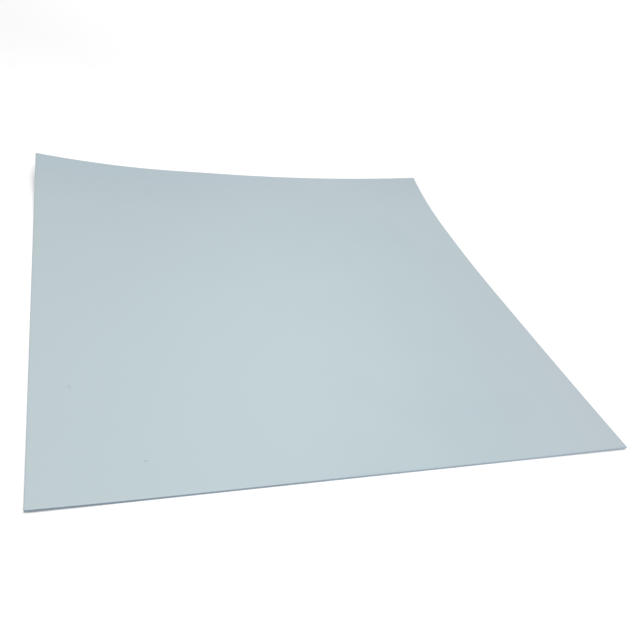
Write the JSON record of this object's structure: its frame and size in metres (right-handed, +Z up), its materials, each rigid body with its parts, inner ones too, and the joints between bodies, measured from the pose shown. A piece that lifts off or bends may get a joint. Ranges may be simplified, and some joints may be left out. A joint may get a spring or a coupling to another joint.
{
  "type": "thermal pad sheet",
  "caption": "Thin square sheet of soft grey-blue filled silicone, cut to size, lying flat with its far corners curling up a little.",
  "frame": {"origin": "on the surface the sheet rests on, under the middle of the sheet", "axes": "+Z up out of the sheet's top face, +X along the near edge, +Y from the near edge to the far, curled edge"},
  "size_m": [0.2, 0.1999, 0.0094],
  "materials": {
    "filled_silicone": "matt, slightly tacky grey-blue filled silicone"
  },
  "bodies": {
    "root": {"thermal_pad_sheet": "filled_silicone"}
  },
  "joints": []
}
